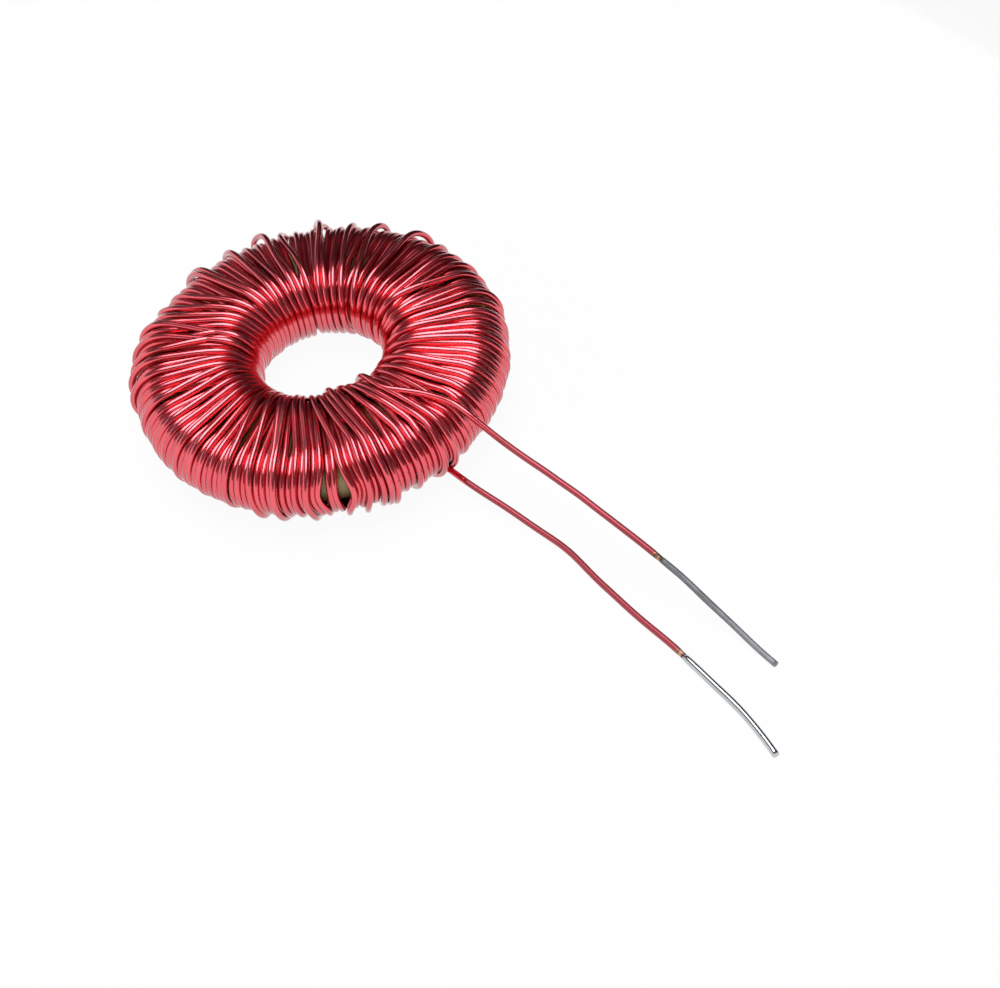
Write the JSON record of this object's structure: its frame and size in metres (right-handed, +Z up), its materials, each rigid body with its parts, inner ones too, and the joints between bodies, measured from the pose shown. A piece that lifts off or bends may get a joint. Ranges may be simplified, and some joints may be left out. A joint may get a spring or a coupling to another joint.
{
  "type": "toroidal inductor",
  "caption": "Toroidal inductor: a ring core wound all round in layers with enamelled copper wire, with both wire ends led out sideways, stripped and tinned.",
  "frame": {"origin": "on the plane that the ring lies on, at the middle of the ring, without its two wire ends", "axes": "+Z up along the axis of the ring; the two wire ends leave the ring between +X and -Y and point mostly towards -Y"},
  "size_m": [0.048, 0.0598, 0.0071],
  "materials": {
    "core_coating": "matt khaki powder coating on pressed iron powder",
    "wire_enamel": "glossy clear red enamel on copper wire",
    "tinned_copper": "bright solder-dipped tin, slightly uneven"
  },
  "bodies": {
    "root": {"core": "core_coating", "winding": "wire_enamel", "start_lead": "wire_enamel", "start_tip": "tinned_copper", "finish_lead": "wire_enamel", "finish_tip": "tinned_copper"}
  },
  "joints": []
}
